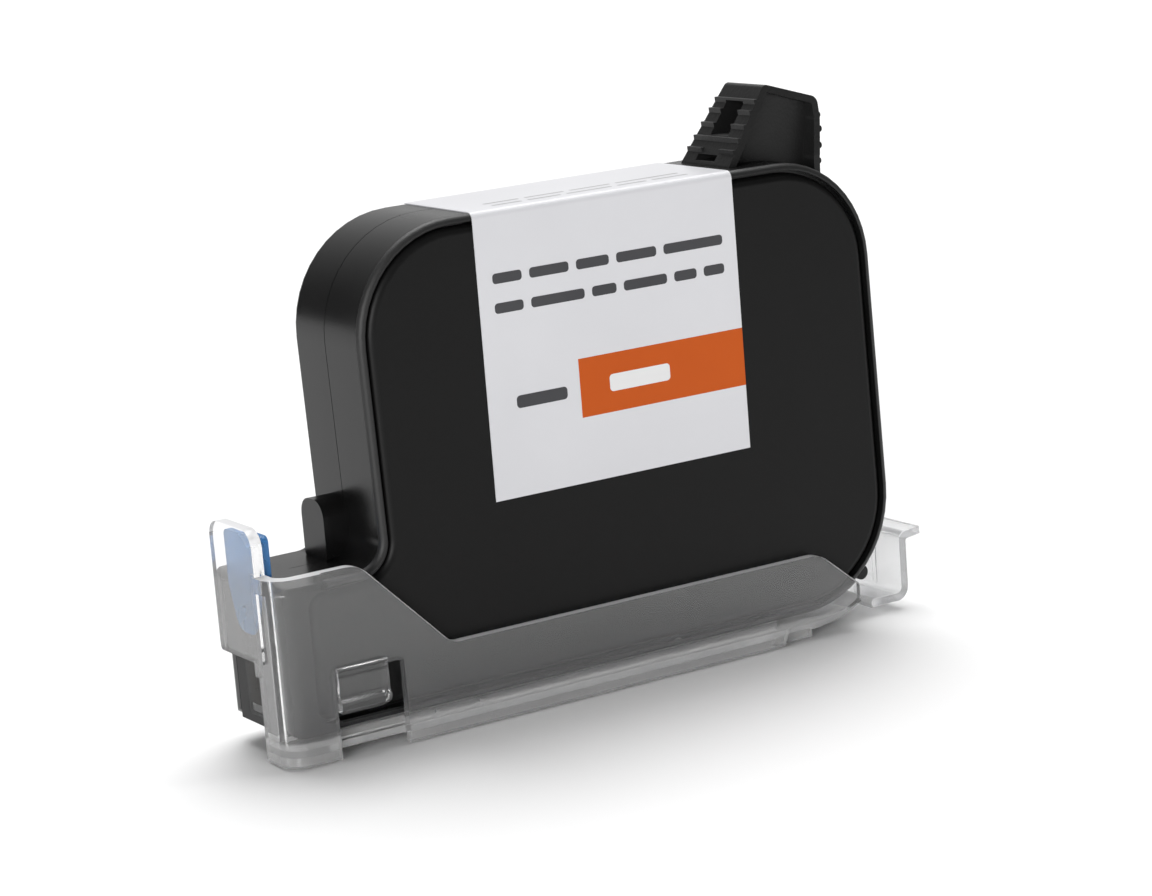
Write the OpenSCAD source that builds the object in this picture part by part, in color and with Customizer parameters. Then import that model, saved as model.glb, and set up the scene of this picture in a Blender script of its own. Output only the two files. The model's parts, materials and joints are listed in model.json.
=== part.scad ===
// Thermal ink cartridge for a date-code printer, standing in its clear protective clip.
// X runs along the cartridge (nose at -X, grip at +X), Y through its thickness (front at -Y), Z up.
// The origin is on the surface that the clip stands on, under the middle of the body.

/* [Cartridge body] */
// Thickness of the body from its front face to its rear face
body_t = 17; // [16:0.5:19]
// Height of the top face above the surface that the clip stands on
body_top = 63; // [60:0.5:66]
// Height of the underside above that surface
body_bottom = 3.2; // [3.2:0.1:3.6]
// Half of the body's length, halfway up
half_l = 38.3; // [37.5:0.1:39.5]
// How far the ends lean along X from the underside to the top
end_lean = 1.4; // [0:0.1:2]
// Radius of the large corners
corner_r = 14; // [12:0.5:16]
// Thickness of the frame's wall
wall = 1.6; // [1.4:0.1:2]
// Width of the rim that stands round each side cover
rim_w = 0.9; // [0.7:0.05:1.2]
// Width of the joint gap between the rim and the cover
cover_gap = 0.35; // [0.2:0.05:0.5]
// Thickness of a side cover
cover_t = 1.2; // [1:0.1:1.5]
// Radius of the soft edge of a side cover
cover_edge_r = 1.1; // [0.6:0.1:1.1]
// Place of the parting line through the thickness
seam_y = 0.3; // [-1:0.1:1]

/* [Nose] */
// End of the nose
nose_x = -52.2; // [-53:0.1:-52]
// Height of the nose's top face
nose_top = 22; // [21:0.5:23]
// Joint between the nose cap and the frame
cap_x = -46.5; // [-47:0.1:-46]
// Radius of the nose's upright edges
nose_edge_r = 1.8; // [1.2:0.1:2.2]
// Height of the print head's centre
head_z = 12.6; // [12:0.1:13]

/* [Grip] */
// Height of the grip's top
grip_top = 72.9; // [72:0.1:74]
// Half width of the grip where it meets the body
grip_half_w = 5.5; // [5:0.1:6]
// Half width of the grip at its top
grip_top_half_w = 4.1; // [3.8:0.1:4.5]
// Width of the grip's flange round the pocket in either side
grip_flange = 0.95; // [0.8:0.05:1.2]

/* [Label] */
// Thickness of the label
label_t = 0.12; // [0.1:0.01:0.15]
// Left edge of the label
label_x = -21.7; // [-23:0.1:-20]
// Width of the label
label_w = 38.4; // [36:0.1:39]
// Height of the label's lower edge
label_z = 27; // [26:0.5:30]

/* [Clip] */
// Wall thickness of the clip
clip_wall = 1.25; // [1.1:0.05:1.4]
// Clearance between the clip's walls and the body
clip_gap = 0.3; // [0.25:0.05:0.35]
// Height of the clip's floor above the surface that its two walls stand on
floor_z0 = 1; // [0.8:0.1:1.2]
// Thickness of the clip's floor
floor_t = 0.9; // [0.8:0.1:1]
// Outer radius of the clip's upright corner
clip_corner_r = 3; // [2.5:0.1:3.5]
// Height of the front wall at the nose
clip_high = 23.4; // [23:0.1:24]
// Height of the front wall along the body
clip_low = 11.1; // [10.8:0.1:11.5]
// Height of the thumb lug at the nose end
lug_top = 29; // [28.5:0.1:29.5]
// Height of the lug's lower edge
lug_bottom = 12.4; // [12:0.1:13]
// Half width of the thumb lug and of the release lever
lug_half_w = 5.7; // [5:0.1:6]

/* [Hidden] */
$fn = 48;

eps = 0.01;
far = 200;                       // larger than the object, for cutting solids
arc_steps = 12;                  // flats on each rounded corner
min_r = 0.4;                     // smallest corner radius after an outline has been moved inwards
face_y = body_t / 2;             // front and rear faces lie at -face_y and +face_y
nose_lower_r = 1.2;
fillet_r = 3.4;                  // where the nose's top meets the body's end
half_lean = end_lean / 2;
top_left_x = -half_l - half_lean;
top_right_x = half_l - half_lean;
low_right_x = half_l + half_lean;
low_left_x = -half_l + half_lean * 0.4;

// Corners of the side outline, anticlockwise as seen from the front: [x, z, corner radius]
side_corners = [
    [nose_x, body_bottom, nose_lower_r],
    [low_right_x, body_bottom, corner_r + 0.6],
    [top_right_x, body_top, corner_r],
    [top_left_x, body_top, corner_r],
    [low_left_x, nose_top, fillet_r],
    [nose_x, nose_top, nose_lower_r]
];

// The cover's nose end stops short of the rounded upright edge of the nose. Its outline starts at the low
// right corner, which every other point can be seen from.
cover_nose_x = -49.9;
cover_corners = [
    side_corners[1], side_corners[2], side_corners[3], side_corners[4],
    [cover_nose_x, nose_top - 0.4, 3],
    [cover_nose_x, body_bottom + 0.2, 3]
];

ledge_w = 1;                     // shelf that a cover is bonded to
ledge_t = 1.2;
recess_depth = cover_t + 0.05;
recess_y = face_y - recess_depth;
cavity_y = recess_y - ledge_t;

// ---- Ink bag, regulator and print head, all inside the frame ----
bag_x0 = -36;
bag_x1 = 36;
bag_z0 = 5.4;
bag_z1 = 60.8;
bag_corners = [
    [bag_x0, bag_z0, 2], [bag_x1, bag_z0, 13], [bag_x1 - 1, bag_z1, 13], [bag_x0 - 0.5, bag_z1, 13]
];
bag_half = 4.2;                  // half depth of the bag frame
bag_wall = 3;
film_t = 0.15;
plate_t = 0.5;
plate_inset = 7;
plate_travel = 2.6;
spring_leaf_w = 6;
spring_t = 0.25;
pipe_r = 2.3;
pipe_bore_r = 1.2;
pipe_x0 = cap_x + 0.9;
pipe_x1 = bag_x0 - 0.5;
gasket_r = 3;
ball_r = 1.5;
ball_x = 10;
vent_r = 1.8;
vent_x = 15;
vent_y = 4.4;

head_w = 4.4;                    // width of the silicon chip, in Y
head_h = 13;                     // height of the silicon chip
chip_t = 0.6;
flex_t = 0.12;
flex_half_w = 6;
flex_end_x = -19;
flex_top_z = 21.2;
nozzle_w = 5;
nozzle_h = 13.6;
bead_t = 1;
pad_rows = 9;
pad_pitch = 2.4;
pad_x0 = -43;
pad_l = 1.5;
pad_w = 1.1;
pad_y = [2, 4.2];
pad_t = 0.04;

tape_t = 0.08;
tape_half_w = 3.4;
tape_x = nose_x - eps;
tab_t = 0.2;
tab_y0 = -5.3;
tab_y1 = 3.2;
tab_z0 = 15.5;
tab_z1 = 28;
tab_grip_t = 0.85;
dimple_r = 0.6;

// ---- Datum block and catch on the frame ----
datum_x = -41.6;
datum_y0 = -0.4;
datum_y1 = 5.4;
datum_top = 29.5;
datum_r = 2.2;
catch_x = 34;
catch_z = 6.6;
catch_r = 1;
catch_half = 7.6;

// ---- Grip ----
grip_x0 = 18.5;                  // foot of the sloping plate
grip_top_x0 = 25.7;              // top of the sloping plate
grip_top_x1 = 33.4;              // outer end of the top plate
grip_top_z1 = 70.3;
grip_right_x = 33.85;
grip_foot_x = 32.8;
grip_outline = [
    [grip_x0, body_top - 6, 0.5], [grip_foot_x, body_top - 6, 0.5], [grip_foot_x + 0.2, body_top - 0.5, 4],
    [grip_right_x, body_top + 4.6, 4], [grip_top_x1 + 0.4, grip_top_z1, 1.2],
    [grip_top_x0, grip_top, 0.8], [grip_x0, body_top, 1]
];
grip_taper = [
    [-grip_half_w, body_top - 8], [grip_half_w, body_top - 8], [grip_half_w, body_top],
    [grip_top_half_w, grip_top + 1], [-grip_top_half_w, grip_top + 1], [-grip_half_w, body_top]
];
grip_rib_z = [66.5, 71.1];        // ribs right across the sloping plate
grip_side_rib_z = [65.1, 68.1, 69.8];   // ribs on its two side strips only
grip_rib = 0.55;
thumb_rib_z = [62.1, 64.1, 66.2, 68];
thumb_rib_r = 0.45;
web_half = 3;                    // half thickness of the web between the pockets
window_half_w = 1.95;
window_z0 = 66.6;
window_z1 = 70.8;
window_x1 = 28.5;
slot_x1 = 22.8;
slot_z1 = 64.3;
slot_y0 = -1.7;
slot_y1 = 2.6;

// ---- Clip ----
inner_y = face_y + clip_gap;
outer_y = inner_y + clip_wall;
clip_x0 = -53.85;                // outside of the end wall
column_y = -3.6;                 // rear edge of the column at the front corner
lug_x0 = -54.2;
lug_x1 = -52.75;
lug_r = 2.3;
notch_x0 = -46.9;
notch_x1 = -37.3;
notch_top = 10.6;
rail_end_x = 19.1;
floor_x0 = notch_x0 + 0.4;
floor_x1 = low_right_x - corner_r - 0.6;    // where the body's lower corner starts to curve up
floor_rise_turn = 30;            // how far round that corner the floor follows it, in degrees
shell_tip_x = 31.7;
shell_tip_z0 = 3.8;
shell_tip_z1 = 6;
wall_corner_x = 25.6;            // where the top of either long wall starts to fall
foot_x1 = 24.3;                  // two short feet carry the floor beyond the ends of the walls
foot_y = 7.6;
bead_proud = 0.45;
bead_end_x = -47.6;
bead_z0 = 21.5;
rear_high = 18.5;
rear_x0 = -49.8;
rear_leg_z0 = 4;                 // the rear wall stops short of the surface beside the nose
floor_z1 = floor_z0 + floor_t;
support_half_w = 0.6;            // half width of the two ribs that the cartridge rests on
support_y = 7.4;
support_gap = 0.06;
peg_r = 0.55;
peg_x = [-32.6, -26.3];
peg_y = 8.1;
strap_z0 = 0.8;
strap_t = 1.15;
strap_r = strap_t / 2;
strap_z = strap_z0 + strap_r;
hinge_gap = 0.06;                // running clearance of a flexing root
lever_pivot_x = 37.3;
tongue_x0 = 32.1;                // where the lever's tongue leaves the floor
tongue_z0 = 3;
tongue_z1 = 4.2;
lever_rib = 0.2;                 // faint rib up the middle of the strap
lever_x = 43;                    // outside of the upright strap
lever_bend_r = 1.9;
lip_tip_x = 45.5;
lip_z = 10.3;
finger_x0 = -46.5;
finger_x1 = -39.6;
finger_z0 = 5.4;
finger_step_z = 7;
finger_root_r = 0.62;
finger_y = inner_y + finger_root_r;
finger_proud = 0.45;

// ---------------------------------------------------------------- geometry helpers

function unit(v) = v / norm(v);
function left_of(v) = [-v[1], v[0]];
function turn_of(u, v) = atan2(u[0] * v[1] - u[1] * v[0], u * v);
function flat(p) = [p[0], p[1]];

// The points of one rounded corner, on an outline that has been moved inwards by inset
function corner_arc(before, corner, after, inset) =
    let (
        u = unit(flat(corner) - flat(before)),
        v = unit(flat(after) - flat(corner)),
        turn = turn_of(u, v),
        side = sign(turn),
        apex = flat(corner) + inset * (left_of(u) + left_of(v)) / (1 + u * v),
        r = max(corner[2] - side * inset, min_r),
        start = apex - r * tan(abs(turn) / 2) * u,
        centre = start + side * r * left_of(u),
        a0 = atan2(start[1] - centre[1], start[0] - centre[0])
    )
    [for (k = [0 : arc_steps]) centre + r * [cos(a0 + turn * k / arc_steps), sin(a0 + turn * k / arc_steps)]];

// The points of a closed outline with rounded corners, moved inwards by inset
function outline(corners, inset = 0) =
    let (n = len(corners))
    [for (i = [0 : n - 1])
        each corner_arc(corners[(i + n - 1) % n], corners[i], corners[(i + 1) % n], inset)];

// A side outline given thickness in Y, from y0 to y1
module slab(points, y0, y1) {
    translate([0, y1, 0]) rotate([90, 0, 0]) linear_extrude(y1 - y0) polygon(points);
}

// An end outline, given as [y, z], with thickness in X from x0 to x1
module end_slab(points, x0, x1) {
    translate([x0, 0, 0]) rotate([90, 0, 90]) linear_extrude(x1 - x0) polygon(points);
}

module box(x0, x1, y0, y1, z0, z1) {
    translate([x0, y0, z0]) cube([x1 - x0, y1 - y0, z1 - z0]);
}

module rod_x(r, x0, x1, y, z) {
    translate([x0, y, z]) rotate([0, 90, 0]) cylinder(r = r, h = x1 - x0);
}

module rod_y(r, y0, y1, x, z) {
    translate([x, y1, z]) rotate([90, 0, 0]) cylinder(r = r, h = y1 - y0);
}

module rod_z(r, z0, z1, x, y) {
    translate([x, y, z0]) cylinder(r = r, h = z1 - z0);
}

// Corners of a rounded rectangle, anticlockwise
function rect(a0, a1, b0, b1, r) = [[a0, b0, r], [a1, b0, r], [a1, b1, r], [a0, b1, r]];

// ---------------------------------------------------------------- frame and covers

// The room that one side cover and its joint gap take out of the front
module cover_recess() {
    slab(outline(cover_corners, rim_w), -face_y - 1, -recess_y);
}

// The print-head circuit lies in a shallow recess round the nose
module flex_recess() {
    box(nose_x - 1, nose_x + flex_t, -flex_half_w, flex_half_w, body_bottom - 1, flex_top_z);
    box(nose_x - 1, flex_end_x, -flex_half_w, flex_half_w, body_bottom - 1, body_bottom + flex_t);
}

// Everything that is hollow or let in, shared by the two halves of the frame
module frame_cuts() {
    cover_recess();
    mirror([0, 1, 0]) cover_recess();
    slab(outline(cover_corners, rim_w + ledge_w + 0.7), -face_y, face_y);
    slab(outline(side_corners, wall), -cavity_y, cavity_y);
    flex_recess();
    rod_z(vent_r + 0.02, body_bottom - 1, body_bottom + 2 * wall, vent_x, vent_y);
}

module catch_rib(y0, y1) {
    difference() {
        rod_y(catch_r, y0, y1, catch_x, catch_z);
        slab(outline(side_corners, 0.3), y0 - 1, y1 + 1);
    }
}

module frame_half(y0, y1) {
    difference() {
        slab(outline(side_corners), y0, y1);
        frame_cuts();
        box(-far, cap_x, -far, far, -far, far);
    }
    catch_rib(max(y0, -catch_half), min(y1, catch_half));
}

module front_frame() {
    color([0.08, 0.08, 0.08]) frame_half(-face_y, seam_y);
}

// A shallow groove outside and a tongue inside mark the parting line
seam_groove = 0.12;
seam_depth = 0.4;

module datum_block() {
    points = outline([
        [datum_y0, nose_top, min_r], [datum_y1, nose_top, min_r],
        [datum_y1, datum_top, datum_r], [datum_y0, datum_top, datum_r]
    ]);
    difference() {
        end_slab(points, datum_x, low_left_x + 2);
        slab(outline(side_corners), -far, far);
    }
}

module rear_frame() {
    color([0.08, 0.08, 0.08]) {
        frame_half(seam_y + seam_groove, face_y);
        difference() {
            slab(outline(side_corners, seam_depth), seam_y, seam_y + seam_groove + eps);
            frame_cuts();
            box(-far, cap_x, -far, far, -far, far);
        }
        datum_block();
    }
}

// A flat panel whose front edge is rounded: rings run from the back face round to the front, and each
// end is a fan of triangles from the outline's first point
module soft_panel(corners, inset, y_back, y_front, edge_r) {
    ring_steps = 6;
    rings = concat(
        [[inset, y_back]],
        [for (k = [0 : ring_steps])
            let (a = 90 * k / ring_steps)
            [inset + edge_r * (1 - cos(a)), y_front + edge_r * (1 - sin(a))]]
    );
    loops = [for (ring = rings) [for (p = outline(corners, ring[0])) [p[0], ring[1], p[1]]]];
    n = len(loops[0]);
    m = len(loops);
    faces = concat(
        [for (i = [1 : n - 2]) [0, i + 1, i]],
        [for (j = [0 : m - 2], i = [0 : n - 1])
            [j * n + i, j * n + (i + 1) % n, (j + 1) * n + (i + 1) % n, (j + 1) * n + i]],
        [for (i = [1 : n - 2]) [(m - 1) * n, (m - 1) * n + i, (m - 1) * n + i + 1]]
    );
    polyhedron(points = [for (ring = loops) each ring], faces = faces);
}

module side_cover() {
    soft_panel(cover_corners, rim_w + cover_gap, -recess_y, -face_y, cover_edge_r);
}

module front_cover() {
    color([0.07, 0.07, 0.07]) side_cover();
}

module rear_cover() {
    color([0.07, 0.07, 0.07]) mirror([0, 1, 0]) side_cover();
}

// The cap closes the nose and carries the print head
module nose_cap() {
    plan = outline(rect(nose_x, cap_x + 2 * nose_edge_r, -face_y, face_y, nose_edge_r));
    color([0.06, 0.06, 0.06])
    difference() {
        intersection() {
            slab(outline(side_corners), -face_y, face_y);
            linear_extrude(body_top) polygon(plan);
            box(-far, cap_x, -far, far, -far, far);
        }
        cover_recess();
        mirror([0, 1, 0]) cover_recess();
        flex_recess();
        box(nose_x - 1, nose_x + flex_t + chip_t, -head_w / 2, head_w / 2,
            head_z - head_h / 2, head_z + head_h / 2);
        rod_x(pipe_bore_r, nose_x, cap_x + 1, 0, head_z);
        rod_x(gasket_r + 0.05, cap_x - 0.5, cap_x + 1, 0, head_z);
    }
}

module label() {
    z1 = body_top + label_t;
    y0 = -face_y - label_t;
    color([0.93, 0.94, 0.96]) {
        box(label_x, label_x + label_w, y0, -face_y, label_z, z1);
        box(label_x, label_x + label_w, -face_y - eps, face_y - 0.3, body_top, z1);
    }
}

// ---------------------------------------------------------------- grip

// One saw-tooth on the sloping plate, as a small ledge that points away from the body's middle
module grip_rib_at(z, y0, y1) {
    x = grip_x0 + (z - body_top) * (grip_top_x0 - grip_x0) / (grip_top - body_top);
    slab([[x - grip_rib, z], [x + 1, z], [x + 1, z - 1.5], [x - 0.35, z - 1.5]], y0, y1);
}

module pull_grip() {
    color([0.09, 0.09, 0.09])
    difference() {
        intersection() {
            union() {
                slab(outline(grip_outline), -grip_half_w, grip_half_w);
                for (z = grip_rib_z) grip_rib_at(z, -grip_half_w, grip_half_w);
                for (z = grip_side_rib_z) {
                    grip_rib_at(z, -grip_half_w, -window_half_w);
                    grip_rib_at(z, window_half_w, grip_half_w);
                }
                // small ribs on the outside of the curved plate, which leans in towards its foot
                for (z = thumb_rib_z)
                    rod_y(thumb_rib_r, -grip_half_w, grip_half_w,
                          grip_right_x - 0.3 - max(0, body_top + 3.6 - z) * 0.17, z);
            }
            end_slab(grip_taper, grip_x0 - 4, grip_right_x + 4);
        }
        slab(outline(side_corners), -far, far);
        slab(outline(grip_outline, grip_flange), -grip_half_w - 1, -web_half);
        slab(outline(grip_outline, grip_flange), web_half, grip_half_w + 1);
        // the window through the sloping plate runs into a hollow in the web
        box(grip_x0 - 2, window_x1, -window_half_w, window_half_w, window_z0, window_z1);
        box(grip_x0 - 2, slot_x1, slot_y0, slot_y1, body_top + 0.5, slot_z1);
    }
}

// ---------------------------------------------------------------- ink bag and regulator

module bag_frame() {
    color([0.85, 0.85, 0.8])
    difference() {
        slab(outline(bag_corners), -bag_half, bag_half);
        slab(outline(bag_corners, bag_wall), -far, far);
        rod_x(pipe_bore_r, bag_x0 - 2, bag_x0 + bag_wall + 2, 0, head_z);
        rod_z(ball_r + 0.02, bag_z0 - 1, bag_z0 + bag_wall + 1, ball_x, 0);
    }
}

module bag_film() {
    slab(outline(bag_corners, 0.3), -bag_half - film_t, -bag_half);
}

module front_bag_film() {
    color([0.75, 0.78, 0.8]) bag_film();
}

module rear_bag_film() {
    color([0.75, 0.78, 0.8]) mirror([0, 1, 0]) bag_film();
}

module pressure_plate() {
    difference() {
        slab(outline(bag_corners, plate_inset), -bag_half + 0.1, -bag_half + 0.1 + plate_t);
        for (x = [-14, 14]) rod_y(2, -far, far, x, 33);
    }
}

module front_pressure_plate() {
    color([0.7, 0.7, 0.72]) pressure_plate();
}

module rear_pressure_plate() {
    color([0.7, 0.7, 0.72]) mirror([0, 1, 0]) pressure_plate();
}

// A leaf spring: a flat middle against one plate and two legs that reach the other
module regulator_spring() {
    y1 = bag_half - 0.1 - plate_t - 0.03;
    leaf = [
        [-6, -y1], [6, -y1], [20, y1 - spring_t], [24, y1 - spring_t], [24, y1], [19.8, y1],
        [5.8, -y1 + spring_t], [-5.8, -y1 + spring_t], [-19.8, y1], [-24, y1],
        [-24, y1 - spring_t], [-20, y1 - spring_t]
    ];
    color([0.6, 0.6, 0.62])
    translate([0, 0, 33 - spring_leaf_w / 2]) linear_extrude(spring_leaf_w) polygon(leaf);
}

module fill_ball() {
    color([0.75, 0.76, 0.78]) translate([ball_x, 0, bag_z0 + bag_wall / 2]) sphere(r = ball_r);
}

module vent_plug() {
    color([0.16, 0.16, 0.17]) rod_z(vent_r, body_bottom + 0.1, body_bottom + wall, vent_x, vent_y);
}

module standpipe() {
    color([0.8, 0.8, 0.76])
    difference() {
        rod_x(pipe_r, pipe_x0, pipe_x1, 0, head_z);
        rod_x(pipe_bore_r, pipe_x0 - 1, pipe_x1 + 1, 0, head_z);
    }
}

module standpipe_gasket() {
    color([0.12, 0.12, 0.12])
    difference() {
        rod_x(gasket_r, cap_x - 0.5, pipe_x0, 0, head_z);
        rod_x(pipe_bore_r, cap_x - 1, pipe_x0 + 1, 0, head_z);
    }
}

module filter_screen() {
    color([0.7, 0.7, 0.7]) rod_x(pipe_r, pipe_x1 + 0.05, bag_x0 - 0.15, 0, head_z);
}

// ---------------------------------------------------------------- print head

module printhead_die() {
    x0 = nose_x + flex_t;
    color([0.25, 0.27, 0.3])
    difference() {
        box(x0, x0 + chip_t - 0.02, -head_w / 2 + 0.05, head_w / 2 - 0.05,
            head_z - head_h / 2 + 0.05, head_z + head_h / 2 - 0.05);
        box(x0 - 1, x0 + 2, -0.15, 0.15, head_z - 5.5, head_z + 5.5);
    }
}

module nozzle_plate() {
    hole_rows = 9;
    color([0.2, 0.18, 0.14])
    difference() {
        box(nose_x, nose_x + flex_t - eps, -nozzle_w / 2, nozzle_w / 2,
            head_z - nozzle_h / 2, head_z + nozzle_h / 2);
        for (y = [-0.9, 0.9], k = [0 : hole_rows - 1])
            rod_x(0.12, nose_x - 1, nose_x + 1, y, head_z - 4.8 + 1.2 * k);
    }
}

module encapsulant_beads() {
    color([0.05, 0.05, 0.06])
    for (side = [-1, 1])
        translate([0, 0, head_z + side * (nozzle_h / 2 + bead_t / 2)])
            box(nose_x, nose_x + flex_t - eps, -nozzle_w / 2, nozzle_w / 2, -bead_t / 2, bead_t / 2);
}

// The circuit covers the nose's end and turns under it to reach the contacts
module flex_circuit() {
    z_low = head_z - nozzle_h / 2 - bead_t;
    z_high = head_z + nozzle_h / 2 + bead_t;
    color([0.05, 0.05, 0.05])
    difference() {
        union() {
            box(nose_x, nose_x + flex_t - eps, -flex_half_w + 0.1, flex_half_w - 0.1,
                body_bottom, flex_top_z - 0.1);
            box(nose_x, flex_end_x - 0.1, -flex_half_w + 0.1, flex_half_w - 0.1,
                body_bottom, body_bottom + flex_t - eps);
        }
        box(nose_x - 1, nose_x + 1, -nozzle_w / 2, nozzle_w / 2, z_low, z_high);
    }
}

module contact_pads() {
    color([0.85, 0.66, 0.3])
    for (k = [0 : pad_rows - 1], y = pad_y, side = [-1, 1])
        translate([pad_x0 + pad_pitch * k, side * y, body_bottom - pad_t])
            box(0, pad_l, -pad_w / 2, pad_w / 2, 0, pad_t);
}

module protective_tape() {
    color([0.8, 0.85, 0.9, 0.4])
    box(tape_x - tape_t, tape_x, -tape_half_w, tape_half_w, body_bottom + 1, flex_top_z - 0.4);
}

module pull_tab() {
    x1 = tape_x - tape_t;
    mid_y = (tab_y0 + tab_y1) / 2;
    tongue = outline([
        [mid_y - 2.4, tab_z0, 2.3], [mid_y + 2.4, tab_z0, 2.3], [tab_y1, tab_z0 + 5.5, 2],
        [tab_y1, tab_z1, 1], [tab_y0, tab_z1, 1], [tab_y0, tab_z0 + 5.5, 2]
    ]);
    grip = outline(rect(tab_y0, tab_y1, nose_top + 0.5, tab_z1, 0.8));
    color([0.25, 0.5, 0.85]) {
        difference() {
            end_slab(tongue, x1 - tab_t, x1);
            rod_x(dimple_r, x1 - 1, x1 - tab_t / 2, mid_y, tab_z0 + 3);
        }
        end_slab(grip, x1 - tab_t, x1 - tab_t + tab_grip_t);
    }
}

// ---------------------------------------------------------------- clip

// The two long walls stand on these outlines, seen from the front
wall_corners = [
    [clip_x0, 0, 0.5], [rail_end_x, 0, 0.5], [rail_end_x + 0.8, 2.1, 1], [shell_tip_x - 2.4, 2.5, 6],
    [shell_tip_x, shell_tip_z0, 0.8], [shell_tip_x, shell_tip_z1, 0.6], [wall_corner_x, clip_low, 4],
    [-30.4, clip_low, 2.5], [-42.4, clip_high, 4], [clip_x0, clip_high, 0.5]
];
rear_wall_corners = [
    [rear_x0, 0, 0.5], [rail_end_x, 0, 0.5], [rail_end_x + 0.8, 2.1, 1], [shell_tip_x - 2.4, 2.5, 6],
    [shell_tip_x, shell_tip_z0, 0.8], [shell_tip_x, shell_tip_z1, 0.6], [wall_corner_x, clip_low, 4],
    [-30.4, clip_low, 2.5], [-37.6, rear_high, 3], [rear_x0, rear_high, 2]
];

// Plan of the space inside the clip, and of its outside when grow is the wall
function clip_plan(grow) =
    outline(rect(clip_x0 + clip_wall - grow, far, -inner_y - grow, inner_y + grow,
                 clip_corner_r - clip_wall + grow));

// The front wall wraps round the corner at the nose and ends as the column's rear edge
module front_wall() {
    difference() {
        intersection() {
            linear_extrude(clip_high) polygon(clip_plan(clip_wall));
            union() {
                slab(outline(wall_corners), -far, -inner_y + 3);
                box(clip_x0 - 1, clip_x0 + 3, -far, 0, 0, clip_high);
            }
        }
        translate([0, 0, -1]) linear_extrude(far) polygon(clip_plan(0));
        box(-far, far, column_y, far, -far, far);
    }
}

// A thicker bead runs along the top of the front wall round the nose
module nose_bead() {
    difference() {
        intersection() {
            translate([0, 0, bead_z0]) linear_extrude(clip_high - bead_z0)
                polygon(clip_plan(clip_wall + bead_proud));
            box(-far, bead_end_x, -far, -lug_half_w + 0.4, 0, far);
        }
        translate([0, 0, -1]) linear_extrude(far) polygon(clip_plan(clip_wall - 0.2));
    }
}

module rear_wall() {
    difference() {
        slab(outline(rear_wall_corners), inner_y, outer_y);
        box(-far, notch_x0 + 1, -far, far, -far, rear_leg_z0);
    }
}

module thumb_lug() {
    points = outline([
        [-lug_half_w, lug_bottom, 0.6], [lug_half_w, lug_bottom, 0.6],
        [lug_half_w, lug_top, lug_r], [-lug_half_w, lug_top, lug_r]
    ]);
    end_slab(points, lug_x0, lug_x1);
}

// Joins the lug to the column below the bead
module lug_bridge() {
    box(clip_x0, lug_x1, -lug_half_w - 0.5, column_y + 1, lug_bottom - 2, clip_high - 0.3);
}

module clip_floor() {
    box(floor_x0, floor_x1, -inner_y - 0.1, inner_y + 0.1, floor_z0, floor_z1);
    // the column is closed at the same level
    intersection() {
        translate([0, 0, floor_z0]) linear_extrude(floor_t) polygon(clip_plan(clip_wall));
        box(-far, floor_x0 + 0.1, -far, column_y, 0, far);
    }
    // ribs that carry the cartridge
    for (y = [-support_y, support_y])
        box(floor_x0 + 0.6, rail_end_x, y - support_half_w, y + support_half_w,
            floor_z1 - eps, body_bottom - support_gap);
    for (x = peg_x, y = [-peg_y, peg_y]) rod_z(peg_r, floor_z0, body_bottom - 0.3, x, y);
    box(rail_end_x - 1, foot_x1, -inner_y - 0.1, -foot_y, 0, floor_z0 + eps);
    box(rail_end_x - 1, foot_x1, foot_y, inner_y + 0.1, 0, floor_z0 + eps);
    floor_rise();
}

// The end of the floor rises round the cartridge's lower corner
module floor_rise() {
    centre = [floor_x1 - eps, body_bottom + corner_r + 0.6];
    low = [for (k = [0 : arc_steps])
        let (a = floor_rise_turn * k / arc_steps - 90) [cos(a), sin(a)]];
    high = [for (k = [arc_steps : -1 : 0]) low[k]];
    slab(concat([for (p = low) centre + (centre[1] - floor_z0) * p],
                [for (p = high) centre + (centre[1] - floor_z1) * p]),
         -inner_y - 0.1, inner_y + 0.1);
}

// A tongue falls from the floor's end to the release lever, and ends in a hollow round the lever's root
module lever_arm() {
    tongue = [
        [tongue_x0, tongue_z0], [lever_pivot_x - 0.7, strap_z0], [lever_pivot_x, strap_z0],
        [lever_pivot_x, strap_z0 + strap_t], [lever_pivot_x - 0.5, strap_z0 + strap_t],
        [tongue_x0 + 0.3, tongue_z1]
    ];
    difference() {
        slab(tongue, -lug_half_w, lug_half_w);
        rod_y(strap_r + hinge_gap, -far, far, lever_pivot_x, strap_z);
    }
}

module notch_cut() {
    box(notch_x0, notch_x1, -outer_y - 1, -inner_y, -1, notch_top);
    rod_x(finger_root_r + hinge_gap, finger_x0 - 0.1, finger_x1 + 0.1, -finger_y, notch_top);
}

module clip_shell() {
    color([0.85, 0.88, 0.9, 0.35])
    difference() {
        union() {
            front_wall();
            nose_bead();
            rear_wall();
            thumb_lug();
            lug_bridge();
            clip_floor();
            lever_arm();
        }
        notch_cut();
        mirror([0, 1, 0]) notch_cut();
    }
}

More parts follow.
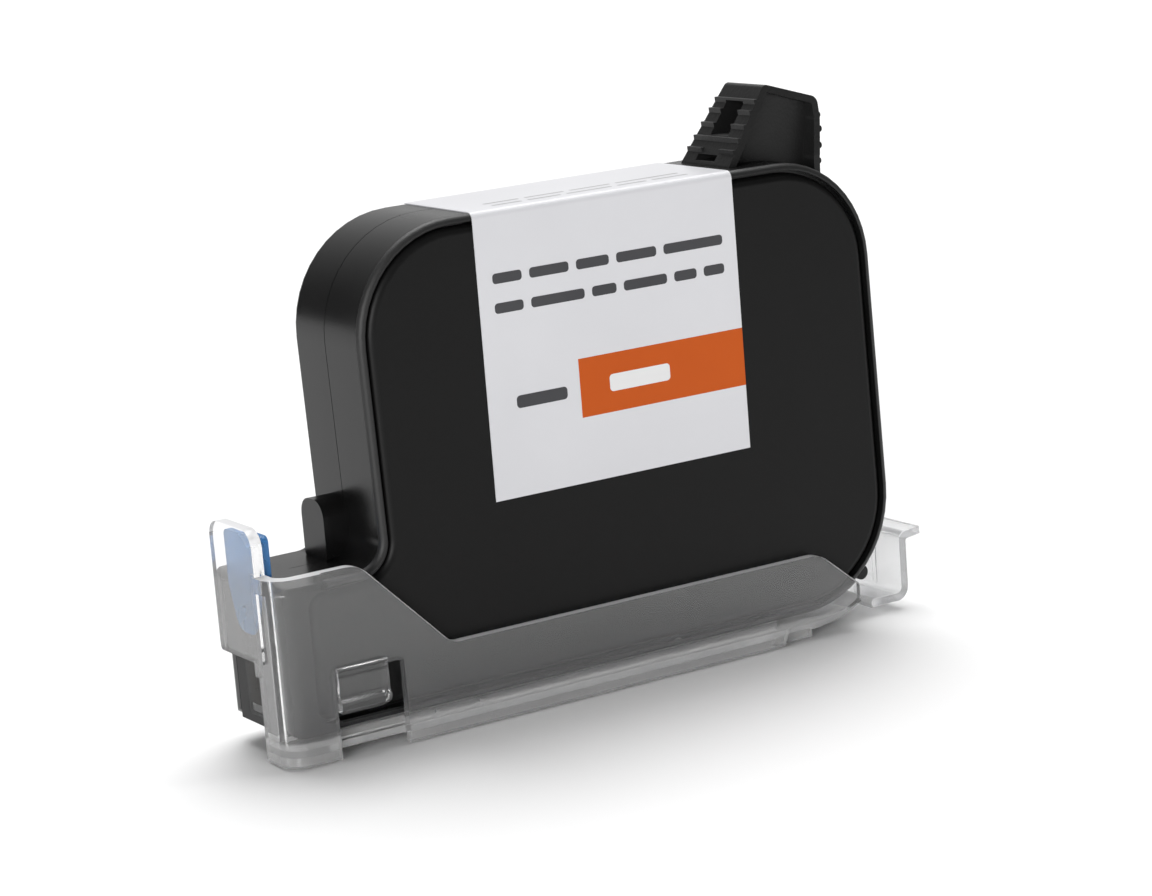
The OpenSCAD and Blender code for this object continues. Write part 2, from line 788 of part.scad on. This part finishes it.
// A finger hangs in the wall's notch from a round root, with a stepped barb at its lower end
module snap_finger() {
    y_in = -inner_y;
    y_out = -outer_y - finger_proud;
    profile = [
        [y_in, finger_z0 + 0.3], [y_in, notch_top - 0.2], [-finger_y - 0.5, notch_top - 0.2],
        [y_out + 0.4, notch_top - 0.9], [y_out + 0.4, finger_step_z + 0.3], [y_out, finger_step_z],
        [y_out, finger_z0 + 0.6], [y_out + 0.7, finger_z0], [y_in - 0.3, finger_z0]
    ];
    face = outline([
        [finger_x0, finger_z0, 0.4], [finger_x1, finger_z0, 1.4],
        [finger_x1, notch_top, 0.1], [finger_x0, notch_top, 0.1]
    ]);
    intersection() {
        end_slab(profile, finger_x0, finger_x1);
        slab(face, -far, far);
    }
    rod_x(finger_root_r, finger_x0, finger_x1, -finger_y, notch_top);
}

module front_snap_finger() {
    color([0.85, 0.88, 0.9, 0.35]) snap_finger();
}

module rear_snap_finger() {
    color([0.85, 0.88, 0.9, 0.35]) mirror([0, 1, 0]) snap_finger();
}

// The lever's strap turns up from its root and ends in a lip for the thumb
module release_lever() {
    x0 = lever_x - strap_t;
    z1 = strap_z0 + strap_t;
    strap = concat(
        [[lever_pivot_x, strap_z0]],
        corner_arc([lever_pivot_x, strap_z0], [lever_x, strap_z0, lever_bend_r], [lever_x, lip_z], 0),
        corner_arc([lever_x, strap_z0], [lever_x, lip_z - strap_t, 0.4], [lip_tip_x, lip_z - strap_t + 0.3], 0),
        [[lip_tip_x, lip_z - strap_t + 0.3], [lip_tip_x - 0.1, lip_z + 0.2]],
        corner_arc([lip_tip_x - 0.1, lip_z + 0.2], [x0, lip_z - 0.1, 1.2], [x0, z1], 0),
        corner_arc([x0, lip_z], [x0, z1, lever_bend_r - strap_t], [lever_pivot_x, z1], 0),
        [[lever_pivot_x, z1]]
    );
    color([0.85, 0.88, 0.9, 0.35]) {
        slab(strap, -lug_half_w, lug_half_w);
        box(x0 - lever_rib, lever_x - strap_t / 2, -2 * lever_rib, 2 * lever_rib, z1, lip_z - 2);
        rod_y(strap_r, -lug_half_w, lug_half_w, lever_pivot_x, strap_z);
    }
}

// ---------------------------------------------------------------- assembly

front_frame();
rear_frame();
front_cover();
rear_cover();
nose_cap();
pull_grip();
label();
bag_frame();
front_bag_film();
rear_bag_film();
front_pressure_plate();
rear_pressure_plate();
regulator_spring();
fill_ball();
vent_plug();
standpipe();
standpipe_gasket();
filter_screen();
printhead_die();
nozzle_plate();
encapsulant_beads();
flex_circuit();
contact_pads();
protective_tape();
pull_tab();
clip_shell();
front_snap_finger();
rear_snap_finger();
release_lever();
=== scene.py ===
"""Thermal ink cartridge in its clear clip: finishes, label print, soft edges, studio and camera."""
import json
import math
import random

import bmesh
import bpy
from mathutils import Matrix, Vector


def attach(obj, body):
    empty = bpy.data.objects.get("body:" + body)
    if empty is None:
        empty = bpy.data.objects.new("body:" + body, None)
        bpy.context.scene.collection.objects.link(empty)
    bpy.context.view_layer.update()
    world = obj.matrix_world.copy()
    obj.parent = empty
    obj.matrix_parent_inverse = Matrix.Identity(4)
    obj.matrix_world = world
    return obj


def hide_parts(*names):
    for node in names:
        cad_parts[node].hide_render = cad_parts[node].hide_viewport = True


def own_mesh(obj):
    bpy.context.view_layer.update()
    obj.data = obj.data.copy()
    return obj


MM = 0.001
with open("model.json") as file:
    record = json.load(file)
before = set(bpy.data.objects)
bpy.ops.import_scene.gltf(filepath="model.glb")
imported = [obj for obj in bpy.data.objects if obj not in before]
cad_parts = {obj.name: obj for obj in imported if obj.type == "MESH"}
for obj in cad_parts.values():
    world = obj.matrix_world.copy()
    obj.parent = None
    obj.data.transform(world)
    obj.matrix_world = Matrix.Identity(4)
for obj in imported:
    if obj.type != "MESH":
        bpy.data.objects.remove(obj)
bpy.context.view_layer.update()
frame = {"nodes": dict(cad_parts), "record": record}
BODY_OF = {n: body for body, nodes in frame["record"]["behaviour"]["bodies"].items() for n in nodes}
SLOT_OF = {s["node"]: s["material_slot"] for s in frame["record"]["subparts"]}


# ---------------------------------------------------------------- materials

NOISE_LOW, NOISE_HIGH = 0.3, 0.7     # the range that noise mostly stays in
CLOUD_PER_M, CLOUD_DETAIL = 60, 3    # patches in the colour and gloss of moulded plastic
RIPPLE_PER_M, RIPPLE_MM = 140, 0.004     # the mould's ripple in clear plastic


def shader(name):
    """A new material with its Principled shader: (material, nodes, links, shader)"""
    mat = bpy.data.materials.new(name)
    mat.use_nodes = True
    nodes, links = mat.node_tree.nodes, mat.node_tree.links
    return mat, nodes, links, nodes["Principled BSDF"]


def object_noise(nodes, links, per_m, detail=2):
    """Noise in object space"""
    coords = nodes.new("ShaderNodeTexCoord")
    noise = nodes.new("ShaderNodeTexNoise")
    noise.inputs["Scale"].default_value = per_m
    noise.inputs["Detail"].default_value = detail
    links.new(coords.outputs["Object"], noise.inputs["Vector"])
    return noise.outputs["Fac"]


def spread(nodes, links, fac, low, high):
    """Noise stretched to low..high"""
    span = nodes.new("ShaderNodeMapRange")
    span.inputs["From Min"].default_value = NOISE_LOW
    span.inputs["From Max"].default_value = NOISE_HIGH
    span.inputs["To Min"].default_value = low
    span.inputs["To Max"].default_value = high
    links.new(fac, span.inputs["Value"])
    return span.outputs["Result"]


def tint(nodes, links, fac, dark, light):
    """Noise turned into a colour between dark and light"""
    ramp = nodes.new("ShaderNodeValToRGB")
    ramp.color_ramp.elements[0].position = NOISE_LOW
    ramp.color_ramp.elements[0].color = (*dark, 1)
    ramp.color_ramp.elements[1].position = NOISE_HIGH
    ramp.color_ramp.elements[1].color = (*light, 1)
    links.new(fac, ramp.inputs["Fac"])
    return ramp.outputs["Color"]


def bump(nodes, links, bsdf, height, depth_mm):
    node = nodes.new("ShaderNodeBump")
    node.inputs["Strength"].default_value = 1.0
    node.inputs["Distance"].default_value = depth_mm * MM
    links.new(height, node.inputs["Height"])
    links.new(node.outputs["Normal"], bsdf.inputs["Normal"])


def moulded(name, dark, light, rough, grain_per_m=5200, depth_mm=0.012, specular=0.5):
    """Moulded plastic: a fine spark texture, a little patchiness in colour and gloss"""
    mat, nodes, links, bsdf = shader(name)
    cloud = object_noise(nodes, links, CLOUD_PER_M, CLOUD_DETAIL)
    links.new(tint(nodes, links, cloud, dark, light), bsdf.inputs["Base Color"])
    links.new(spread(nodes, links, cloud, *rough), bsdf.inputs["Roughness"])
    bsdf.inputs["Specular IOR Level"].default_value = specular
    bump(nodes, links, bsdf, object_noise(nodes, links, grain_per_m), depth_mm)
    return mat


def metal(name, dark, light, rough, grain_per_m=(300, 9000, 9000), depth_mm=0.004):
    """Rolled or plated metal, with its grain along X unless it is even"""
    mat, nodes, links, bsdf = shader(name)
    coords = nodes.new("ShaderNodeTexCoord")
    mapping = nodes.new("ShaderNodeMapping")
    mapping.inputs["Scale"].default_value = grain_per_m
    noise = nodes.new("ShaderNodeTexNoise")
    noise.inputs["Scale"].default_value = 1.0
    links.new(coords.outputs["Object"], mapping.inputs["Vector"])
    links.new(mapping.outputs["Vector"], noise.inputs["Vector"])
    fac = noise.outputs["Fac"]
    links.new(tint(nodes, links, fac, dark, light), bsdf.inputs["Base Color"])
    links.new(spread(nodes, links, fac, *rough), bsdf.inputs["Roughness"])
    bsdf.inputs["Metallic"].default_value = 1.0
    bump(nodes, links, bsdf, fac, depth_mm)
    return mat


def clear(name, colour, rough, haze, haze_colour, ior=1.5):
    """Clear moulding: glass with a little milky haze and the ripple of its mould"""
    mat, nodes, links, bsdf = shader(name)
    bsdf.inputs["Base Color"].default_value = (*colour, 1)
    bsdf.inputs["Transmission Weight"].default_value = 1.0
    bsdf.inputs["IOR"].default_value = ior
    ripple = object_noise(nodes, links, RIPPLE_PER_M)
    links.new(spread(nodes, links, ripple, *rough), bsdf.inputs["Roughness"])
    bump(nodes, links, bsdf, ripple, RIPPLE_MM)
    milk = nodes.new("ShaderNodeBsdfDiffuse")
    milk.inputs["Color"].default_value = (*haze_colour, 1)
    mix = nodes.new("ShaderNodeMixShader")
    mix.inputs["Fac"].default_value = haze
    links.new(bsdf.outputs["BSDF"], mix.inputs[1])
    links.new(milk.outputs["BSDF"], mix.inputs[2])
    links.new(mix.outputs["Shader"], nodes["Material Output"].inputs["Surface"])
    return mat


def printed(name, dark, light):
    """Ink on the label: slightly uneven, with the label's own gloss"""
    return moulded(name, dark, light, (0.34, 0.42), 2600, 0.003, specular=0.2)


def grey(value):
    return (value, value, value)


MATS = {
    "frame_plastic": moulded("frame_plastic", grey(0.006), grey(0.009), (0.22, 0.28),
                             depth_mm=0.006, specular=0.25),
    "cover_plastic": moulded("cover_plastic", grey(0.005), grey(0.007), (0.38, 0.45),
                             specular=0.18),
    "grip_plastic": moulded("grip_plastic", grey(0.008), grey(0.013), (0.42, 0.52),
                            2400, 0.035, specular=0.35),
    "label_stock": moulded("label_stock", (0.70, 0.70, 0.725), (0.73, 0.73, 0.755),
                           (0.30, 0.36), 900, 0.004),
    "bag_plastic": moulded("bag_plastic", (0.60, 0.58, 0.50), (0.66, 0.64, 0.56), (0.40, 0.5)),
    "bag_film": moulded("bag_film", (0.50, 0.53, 0.56), (0.60, 0.63, 0.66), (0.2, 0.3), 400, 0.05),
    "steel": metal("steel", (0.50, 0.50, 0.52), (0.62, 0.62, 0.64), (0.24, 0.36)),
    "rubber": moulded("rubber", grey(0.012), grey(0.02), (0.6, 0.7)),
    "silicon": metal("silicon", (0.10, 0.11, 0.13), (0.13, 0.14, 0.17), (0.08, 0.12),
                     grey(200), 0.0005),
    "nozzle": metal("nozzle", (0.022, 0.020, 0.018), (0.032, 0.029, 0.025), (0.4, 0.5),
                    grey(3000), 0.001),
    "epoxy": moulded("epoxy", grey(0.008), grey(0.012), (0.18, 0.24), 500, 0.01),
    "coverlay": moulded("coverlay", grey(0.008), grey(0.012), (0.40, 0.48), 900, 0.004,
                        specular=0.2),
    "gold": metal("gold", (0.75, 0.52, 0.20), (0.85, 0.62, 0.26), (0.22, 0.32),
                  grey(2500), 0.001),
    "plug_plastic": moulded("plug_plastic", grey(0.02), grey(0.03), (0.5, 0.6)),
    "clear_plastic": clear("clear_plastic", grey(0.975), (0.03, 0.06), 0.045, (0.9, 0.9, 0.91)),
    "clear_film": clear("clear_film", grey(0.99), (0.02, 0.04), 0.006, grey(0.9), ior=1.04),
    "blue_film": clear("blue_film", (0.12, 0.42, 0.86), (0.2, 0.3), 0.5, (0.09, 0.30, 0.64)),
}
# The rim's soft edge is rougher than the walls. The clip's edges get a painted highlight and its
# foot painted light, as milkier clear copies, and the release lever is milkier than the rest of the
# clip.
FRAME_RIM = moulded("frame_rim", grey(0.010), grey(0.016), (0.45, 0.55), 3600, 0.02)
# Painted highlight: a whiter, milkier copy of the clear plastic for the clip's upward and rounded
# edges.
CLEAR_PAINTED_HIGHLIGHT = clear("clear_painted_highlight", grey(0.97), (0.12, 0.2), 0.68, (0.94, 0.94, 0.95))
# Painted light: a milkier copy of the clear plastic for the clip below the cartridge, over the
# shadowed floor.
CLEAR_FOOT_PAINTED_LIGHT = clear("clear_foot_painted_light", grey(0.97), (0.08, 0.16), 0.24, grey(0.92))
CLEAR_MILKY = clear("clear_milky", (0.95, 0.95, 0.955), (0.12, 0.2), 0.2, (0.88, 0.89, 0.90))


# ---------------------------------------------------------------- CAD nodes: soft edges

# Radius of each node's small edges. The two covers and the spring are only cleaned up.
EDGE_MM = {
    "front_frame": 0.22, "rear_frame": 0.22, "nose_cap": 0.3, "pull_grip": 0.18, "clip_shell": 0.18,
    "front_snap_finger": 0.2, "rear_snap_finger": 0.2, "release_lever": 0.15, "pull_tab": 0.05,
}
BLACK_SHELL = ("front_frame", "rear_frame", "nose_cap")
WELD_MM, FLAT_DEG = 0.0004, 0.4  # corners this close are one, and faces this flat are one
ROUNDED_DEG = 28                 # edges that turn by more than this are rounded
SHARP_DEG = 35                   # edges that turn by more than this are shaded sharp
FACE_Y = 8.5 * MM                # the body's front and rear faces
FACE_Y_SLACK = 0.01 * MM
DEEP_WALL = 2 * MM               # the frame's outer wall runs deeper than this behind either face
RIM_EDGE_MM = 0.8
FOOT_TOP_Z = 2.9 * MM            # painted light makes the clip bright below the cartridge's underside
UPWARD = 0.3                     # least Z of an upward face's normal


def added(name, data):
    """A new object in the scene"""
    obj = bpy.data.objects.new(name, data)
    bpy.context.collection.objects.link(obj)
    return obj


def mesh_object(name, bm, materials):
    """A new object from bm, which is freed"""
    mesh = bpy.data.meshes.new(name)
    bm.to_mesh(mesh)
    bm.free()
    for material in materials:
        mesh.materials.append(material)
    return added(name, mesh)


def joined(bm):
    """Merges the split corners of an imported mesh and joins its flat faces"""
    bmesh.ops.remove_doubles(bm, verts=bm.verts, dist=WELD_MM * MM)
    bmesh.ops.dissolve_limit(bm, angle_limit=math.radians(FLAT_DEG), verts=bm.verts, edges=bm.edges)


def on_rim_edge(edge):
    """True for the outer edge of the rim round either side face"""
    if not all(abs(abs(v.co.y) - FACE_Y) < FACE_Y_SLACK for v in edge.verts):
        return False
    walls = [f for f in edge.link_faces if abs(f.normal.y) < 0.5]
    if len(walls) != 1:
        return False
    depths = [abs(v.co.y) for v in walls[0].verts]
    return max(depths) - min(depths) > DEEP_WALL


def edges_over(bm, angle_deg):
    """Edges between two faces that turn by more than angle_deg"""
    limit = math.radians(angle_deg)
    return [e for e in bm.edges if e.is_manifold and e.calc_face_angle() > limit]


def rounded(bm, edges, radius_mm, segments, material=-1):
    """Rounds edges. The new faces take the given material slot, or their neighbours' with -1."""
    bmesh.ops.bevel(bm, geom=edges, offset=radius_mm * MM, segments=segments, profile=0.5,
                    affect="EDGES", clamp_overlap=True, material=material)


def painted_light_faces(bm):
    """Paints light on the clip: a painted highlight on its upward edges, painted light on
    everything below the cartridge
    """
    bmesh.ops.bisect_plane(bm, geom=bm.verts[:] + bm.edges[:] + bm.faces[:], dist=1e-7,
                           plane_co=(0, 0, FOOT_TOP_Z), plane_no=(0, 0, 1))
    for f in bm.faces:
        z = f.calc_center_median().z
        if f.normal.z > UPWARD and z > FOOT_TOP_Z:
            f.material_index = 1
        elif f.material_index == 0 and z < FOOT_TOP_Z:
            f.material_index = 2


def finishes(node):
    """A node's materials: its own, then the rim's, or clear copies with a painted highlight and
    painted light
    """
    own = MATS[SLOT_OF[node]]
    if SLOT_OF[node] == "clear_plastic":
        return [CLEAR_MILKY if node == "release_lever" else own, CLEAR_PAINTED_HIGHLIGHT, CLEAR_FOOT_PAINTED_LIGHT]
    return [own, FRAME_RIM] if node in BLACK_SHELL else [own]


def refined(node, edge_mm):
    """A copy of a CAD node with clean faces and rounded edges, shown in its place"""
    bm = bmesh.new()
    bm.from_mesh(frame["nodes"][node].data)
    joined(bm)
    if node in BLACK_SHELL:
        rim = [e for e in bm.edges if e.is_manifold and on_rim_edge(e)]
        rounded(bm, rim, RIM_EDGE_MM, 4, material=1)
    if edge_mm:
        # Rounded edges of clear parts take the painted highlight's slot.
        painted_highlight_slot = 1 if SLOT_OF[node] == "clear_plastic" else -1
        rounded(bm, edges_over(bm, ROUNDED_DEG), edge_mm, 2, material=painted_highlight_slot)
    if node == "clip_shell":
        painted_light_faces(bm)
    for f in bm.faces:
        f.smooth = True
    for e in bm.edges:
        e.smooth = True
    for e in edges_over(bm, SHARP_DEG):
        e.smooth = False
    obj = mesh_object(node + "_soft", bm, finishes(node))
    even = obj.modifiers.new("even", "WEIGHTED_NORMAL")
    even.keep_sharp = True
    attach(obj, BODY_OF[node])
    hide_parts(node)
    return obj


for node, obj in frame["nodes"].items():
    if node in EDGE_MM:
        refined(node, EDGE_MM[node])
    elif node in ("front_cover", "rear_cover"):
        refined(node, 0)
    elif node == "regulator_spring":
        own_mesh(refined(node, 0))
    elif node != "label":
        obj.data.materials.clear()
        obj.data.materials.append(MATS[SLOT_OF[node]])


# ---------------------------------------------------------------- label and its print, in mm

LABEL_X = (-21.7, 16.7)
LABEL_Z0, LABEL_TOP, LABEL_FRONT, LABEL_BACK = 27.0, 63.12, -8.62, 8.2
LABEL_T, LABEL_BEND = 0.12, 0.95
INK_LIFT, OVERPRINT_LIFT = 0.012, 0.02   # how far ink stands off the label, and ink on ink
BAND_INK, GREY_INK, PALE_INK, FAINT_INK = range(4)
BAND_X0, BAND_Z = -8.3, (35.3, 42.8)
BAND_BAR = (-3.9, 5.2, 37.9, 40.1, 0.5)      # x0, x1, z0, z1 and the radius of its corners
SIDE_BAR = (-17.6, -10.2, 38.1, 39.7, 0.5)
# Lines of small print: (height on the front, or y on the top; seed of its word lengths)
FRONT_LINES, FRONT_LINE_X = ((54.6, 3), (50.9, 8)), (-19.6, 14.6)
TOP_LINES, TOP_LINE_X = ((-3.4, 5), (-5.6, 11)), (-17.0, 12.0)
FRONT_WORDS, TOP_WORDS = (3.0, 8.0, 1.1), (2.0, 7.0, 0.9)    # shortest, longest, gap
FRONT_HALF_H, FRONT_BAR_R = 0.65, 0.45
TOP_HALF_H, TOP_BAR_R = 0.35, 0.2


def label_path(offset, steps=10):
    """The label's section from its lower edge, as (y, z), moved out by offset"""
    cy, cz = LABEL_FRONT + LABEL_BEND, LABEL_TOP - LABEL_BEND
    r = LABEL_BEND + offset
    points = [(LABEL_FRONT - offset, LABEL_Z0)]
    for k in range(steps + 1):
        a = math.pi / 2 * k / steps
        points.append((cy - r * math.cos(a), cz + r * math.sin(a)))
    points.append((LABEL_BACK, LABEL_TOP + offset))
    return points


def label_sheet():
    """The label as one sheet with real thickness, bent softly over the top edge"""
    bm = bmesh.new()
    ring = label_path(0) + label_path(-LABEL_T)[::-1]
    ends = [[bm.verts.new((x * MM, y * MM, z * MM)) for y, z in ring] for x in LABEL_X]
    n, half = len(ring), len(ring) // 2
    for i in range(n):
        j = (i + 1) % n
        bm.faces.new((ends[0][i], ends[1][i], ends[1][j], ends[0][j]))
    for verts in ends:
        for i in range(half - 1):
            bm.faces.new((verts[i], verts[i + 1], verts[n - 2 - i], verts[n - 1 - i]))
    bmesh.ops.recalc_face_normals(bm, faces=bm.faces)
    for f in bm.faces:
        f.smooth = True
    for e in bm.edges:
        e.smooth = e.calc_face_angle(0) < math.radians(SHARP_DEG)
    obj = mesh_object("label_sheet", bm, [MATS["label_stock"]])
    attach(obj, "cartridge")
    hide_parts("label")


def bar_outline(a0, a1, b0, b1, r, steps=5):
    """A bar with round corners, anticlockwise"""
    points = []
    centres = ((a1 - r, b1 - r), (a0 + r, b1 - r), (a0 + r, b0 + r), (a1 - r, b0 + r))
    for k, (ca, cb) in enumerate(centres):
        for i in range(steps + 1):
            t = math.pi / 2 * (k + i / steps)
            points.append((ca + r * math.cos(t), cb + r * math.sin(t)))
    return points


def word_bars(x0, x1, seed, low, high, gap):
    """Lengths of print along a line, as (start, end), that fill x0..x1"""
    draw = random.Random(seed)
    bars, x = [], x0
    while x < x1 - low:
        end = min(x + draw.uniform(low, high), x1)
        bars.append((x, x1 if x1 - end < low + gap else end))
        x = bars[-1][1] + gap
    return bars


def label_print():
    """Blank bars where the small print is, and the coloured band"""
    inks = [printed("band_ink", (0.55, 0.088, 0.005), (0.58, 0.098, 0.007)),
            printed("grey_ink", (0.055, 0.055, 0.06), (0.07, 0.07, 0.075)),
            printed("pale_ink", grey(0.80), grey(0.84)),
            printed("faint_ink", (0.42, 0.42, 0.43), (0.5, 0.5, 0.51))]
    bm = bmesh.new()

    def bar(points, lift, ink, top=False):
        if top:
            verts = [bm.verts.new((a * MM, b * MM, (LABEL_TOP + lift) * MM)) for a, b in points]
        else:
            verts = [bm.verts.new((a * MM, (LABEL_FRONT - lift) * MM, b * MM)) for a, b in points]
        bm.faces.new(verts).material_index = ink

    (z0, z1), right = BAND_Z, LABEL_X[1]
    bar([(BAND_X0, z0), (right, z0), (right, z1), (BAND_X0, z1)], INK_LIFT, BAND_INK)
    bar(bar_outline(*BAND_BAR), OVERPRINT_LIFT, PALE_INK)
    bar(bar_outline(*SIDE_BAR), INK_LIFT, GREY_INK)
    for z, seed in FRONT_LINES:
        for x0, x1 in word_bars(*FRONT_LINE_X, seed, *FRONT_WORDS):
            outline = bar_outline(x0, x1, z - FRONT_HALF_H, z + FRONT_HALF_H, FRONT_BAR_R)
            bar(outline, INK_LIFT, GREY_INK)
    for y, seed in TOP_LINES:
        for x0, x1 in word_bars(*TOP_LINE_X, seed, *TOP_WORDS):
            outline = bar_outline(x0, x1, y - TOP_HALF_H, y + TOP_HALF_H, TOP_BAR_R)
            bar(outline, INK_LIFT, FAINT_INK, top=True)
    obj = mesh_object("label_print", bm, inks)
    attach(obj, "cartridge")


label_sheet()
label_print()


# ---------------------------------------------------------------- studio and camera

FLOOR_Z = -0.3 * MM              # just under the clip's rails, so that light gets below them
FLOOR_HALF = 6
BACKDROP_AT = (0.507, 0.837, 0.2)    # the way from the object to the white backdrop
ROOM_FROM, ROOM_TO = (0.55, 0.95), (0.05, 0.7)   # cosine off that way, and the light from there
# Name: the way the light travels, its strength, and how wide it looks in degrees
LIGHTS = {
    "key": ((-0.225, -0.35, -1.0), 3.15, 48),
    "top": ((-0.507, 0.207, -0.837), 0.2, 8),
    "fill": ((0.75, 0.62, -0.16), 2.2, 30),
}
CAMERA_AT = (-0.21573, -0.34867, 0.11577)
VIEW_AHEAD = Vector((0.5071, 0.8367, -0.2069)).normalized()
VIEW_UP = (0.1763, 0.1342, 0.9751)
LENS_MM, SENSOR_MM = 101.47, 36


def sun(name, towards, strength, angle_deg):
    """A broad soft light with no fall-off"""
    data = bpy.data.lights.new(name, "SUN")
    data.energy, data.angle = strength, math.radians(angle_deg)
    added(name, data).rotation_euler = Vector(towards).to_track_quat("-Z", "Y").to_euler()


def surroundings():
    """A room that is bright only where the white backdrop stands, and white to the camera"""
    world = bpy.data.worlds.new("studio")
    bpy.context.scene.world = world
    world.use_nodes = True
    nodes, links = world.node_tree.nodes, world.node_tree.links
    back = nodes["Background"]
    coords = nodes.new("ShaderNodeTexCoord")
    facing = nodes.new("ShaderNodeVectorMath")
    facing.operation = "DOT_PRODUCT"
    facing.inputs[1].default_value = Vector(BACKDROP_AT).normalized()
    links.new(coords.outputs["Generated"], facing.inputs[0])
    room = nodes.new("ShaderNodeMapRange")
    room.inputs["From Min"].default_value, room.inputs["From Max"].default_value = ROOM_FROM
    room.inputs["To Min"].default_value, room.inputs["To Max"].default_value = ROOM_TO
    links.new(facing.outputs["Value"], room.inputs["Value"])
    path = nodes.new("ShaderNodeLightPath")
    seen = nodes.new("ShaderNodeMath")
    seen.operation = "MAXIMUM"
    links.new(room.outputs["Result"], seen.inputs[0])
    links.new(path.outputs["Is Camera Ray"], seen.inputs[1])
    links.new(seen.outputs["Value"], back.inputs["Strength"])
    back.inputs["Color"].default_value = (1, 1, 1, 1)


def studio():
    """The floor, the room and the lights"""
    mesh = bpy.data.meshes.new("floor")
    corners = ((-1, -1), (1, -1), (1, 1), (-1, 1))
    mesh.from_pydata([(x * FLOOR_HALF, y * FLOOR_HALF, FLOOR_Z) for x, y in corners], [],
                     [(0, 1, 2, 3)])
    floor = added("floor", mesh)
    mat, nodes, links, bsdf = shader("floor")
    bsdf.inputs["Base Color"].default_value = (*grey(0.92), 1)
    bsdf.inputs["Roughness"].default_value = 0.8
    bsdf.inputs["Specular IOR Level"].default_value = 0.1
    mesh.materials.append(mat)
    surroundings()
    for name, light in LIGHTS.items():
        sun(name, *light)


def camera():
    right = VIEW_AHEAD.cross(Vector(VIEW_UP)).normalized()
    up = right.cross(VIEW_AHEAD)
    data = bpy.data.cameras.new("camera")
    data.lens, data.sensor_width = LENS_MM, SENSOR_MM
    data.clip_start, data.clip_end = 0.01, 20
    obj = added("camera", data)
    turn = Matrix((right, up, -VIEW_AHEAD)).transposed()
    obj.matrix_world = Matrix.Translation(CAMERA_AT) @ turn.to_4x4()
    bpy.context.scene.camera = obj


studio()
camera()
bpy.context.scene.view_settings.view_transform = "Standard"
